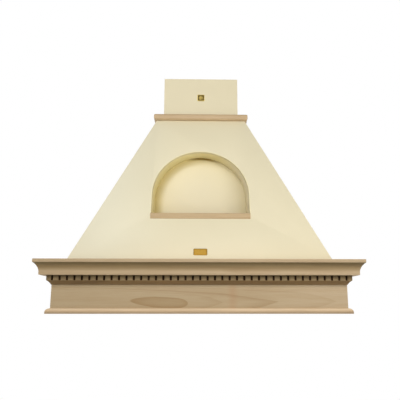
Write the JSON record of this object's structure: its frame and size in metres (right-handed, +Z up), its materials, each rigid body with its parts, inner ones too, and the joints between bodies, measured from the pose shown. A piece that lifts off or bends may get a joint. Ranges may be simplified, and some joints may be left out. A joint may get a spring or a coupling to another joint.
{
  "type": "range hood",
  "caption": "Wall-hung wooden range hood: raw-wood frame with crown, dentils and base moulding, painted sloping body with an arched niche and shelf, collar, chimney and blower.",
  "frame": {"origin": "on the wall plane, middle of the width, at the level of the underside of the base moulding", "axes": "+Z up, +Y into the wall, -Y towards the room, +X to the viewer's right"},
  "size_m": [1.2, 0.5, 1.01],
  "materials": {
    "raw_wood": "unfinished, sanded",
    "painted_wood": "satin cream paint",
    "carcass_wood": "rough sawn",
    "niche_wood": "satin cream paint",
    "steel_plate": "brushed",
    "galvanised": "galvanised",
    "filter_mesh": "satin mesh",
    "brass": "aged satin",
    "screw_steel": "zinc plated",
    "motor_paint": "satin black",
    "impeller_steel": "galvanised",
    "lamp_glass": "frosted",
    "lamp_metal": "satin",
    "control_plastic": "fine texture",
    "button_plastic": "satin",
    "gland_plastic": "smooth"
  },
  "bodies": {
    "hood": {"back_rail": "carcass_wood", "base_moulding_front": "raw_wood", "base_moulding_left": "raw_wood", "base_moulding_right": "raw_wood", "brass_plate": "brass", "cable_gland": "gland_plastic", "chimney_badge": "brass", "chimney_bracket": "galvanised", "chimney_front": "painted_wood", "chimney_left": "painted_wood", "chimney_right": "painted_wood", "collar_front": "raw_wood", "collar_left": "raw_wood", "collar_right": "raw_wood", "control_bezel": "control_plastic", "corner_blocks": "carcass_wood", "crown_front": "raw_wood", "crown_left": "raw_wood", "crown_right": "raw_wood", "damper_pin": "screw_steel", "deck_left": "carcass_wood", "deck_right": "carcass_wood", "dentil_moulding_front": "raw_wood", "dentil_moulding_left": "raw_wood", "dentil_moulding_right": "raw_wood", "fan_motor": "motor_paint", "frieze_front": "raw_wood", "frieze_left": "raw_wood", "frieze_right": "raw_wood", "lamp_lenses": "lamp_glass", "lamp_rings": "lamp_metal", "motor_box": "galvanised", "neck_rail_back": "carcass_wood", "neck_rail_left": "carcass_wood", "neck_rail_right": "carcass_wood", "niche_arch": "niche_wood", "niche_back": "niche_wood", "niche_shelf": "raw_wood", "outlet_spigot": "galvanised", "plate_ledgers": "carcass_wood", "plate_screws": "screw_steel", "scroll_case": "galvanised", "shelf_bearer": "carcass_wood", "shell_front": "painted_wood", "shell_left": "painted_wood", "shell_right": "painted_wood", "switch_block": "control_plastic", "underside_plate": "steel_plate", "wall_batten_left": "carcass_wood", "wall_batten_right": "carcass_wood"},
    "filter_left": {"filter_left": "filter_mesh"},
    "filter_right": {"filter_right": "filter_mesh"},
    "impeller": {"impeller": "impeller_steel"},
    "damper_flap_front": {"damper_flap_front": "galvanised"},
    "damper_flap_rear": {"damper_flap_rear": "galvanised"},
    "button_1": {"button_1": "button_plastic"},
    "button_2": {"button_2": "button_plastic"},
    "button_3": {"button_3": "button_plastic"},
    "button_4": {"button_4": "button_plastic"},
    "button_5": {"button_5": "button_plastic"}
  },
  "joints": [
    {"name": "filter_left_drop", "type": "hinge", "parent": "hood", "child": "filter_left", "pos_m": [-0.14, -0.067, 0.027], "axis": [1, 0, 0], "range_deg": [0, 60]},
    {"name": "filter_right_drop", "type": "hinge", "parent": "hood", "child": "filter_right", "pos_m": [0.14, -0.067, 0.027], "axis": [1, 0, 0], "range_deg": [0, 60]},
    {"name": "impeller_spin", "type": "hinge", "parent": "hood", "child": "impeller", "pos_m": [0, -0.205, 0.18], "axis": [1, 0, 0], "continuous": true},
    {"name": "damper_front_open", "type": "hinge", "parent": "hood", "child": "damper_flap_front", "pos_m": [0, -0.11, 0.345], "axis": [-1, 0, 0], "range_deg": [0, 75]},
    {"name": "damper_rear_open", "type": "hinge", "parent": "hood", "child": "damper_flap_rear", "pos_m": [0, -0.11, 0.345], "axis": [1, 0, 0], "range_deg": [0, 75]},
    {"name": "button_1_press", "type": "slide", "parent": "hood", "child": "button_1", "axis": [0, 0, 1], "range_m": [0, 0.0025], "stiffness_N_per_m": 600, "springref_m": -0.001},
    {"name": "button_2_press", "type": "slide", "parent": "hood", "child": "button_2", "axis": [0, 0, 1], "range_m": [0, 0.0025], "stiffness_N_per_m": 600, "springref_m": -0.001},
    {"name": "button_3_press", "type": "slide", "parent": "hood", "child": "button_3", "axis": [0, 0, 1], "range_m": [0, 0.0025], "stiffness_N_per_m": 600, "springref_m": -0.001},
    {"name": "button_4_press", "type": "slide", "parent": "hood", "child": "button_4", "axis": [0, 0, 1], "range_m": [0, 0.0025], "stiffness_N_per_m": 600, "springref_m": -0.001},
    {"name": "button_5_press", "type": "slide", "parent": "hood", "child": "button_5", "axis": [0, 0, 1], "range_m": [0, 0.0025], "stiffness_N_per_m": 600, "springref_m": -0.001}
  ]
}
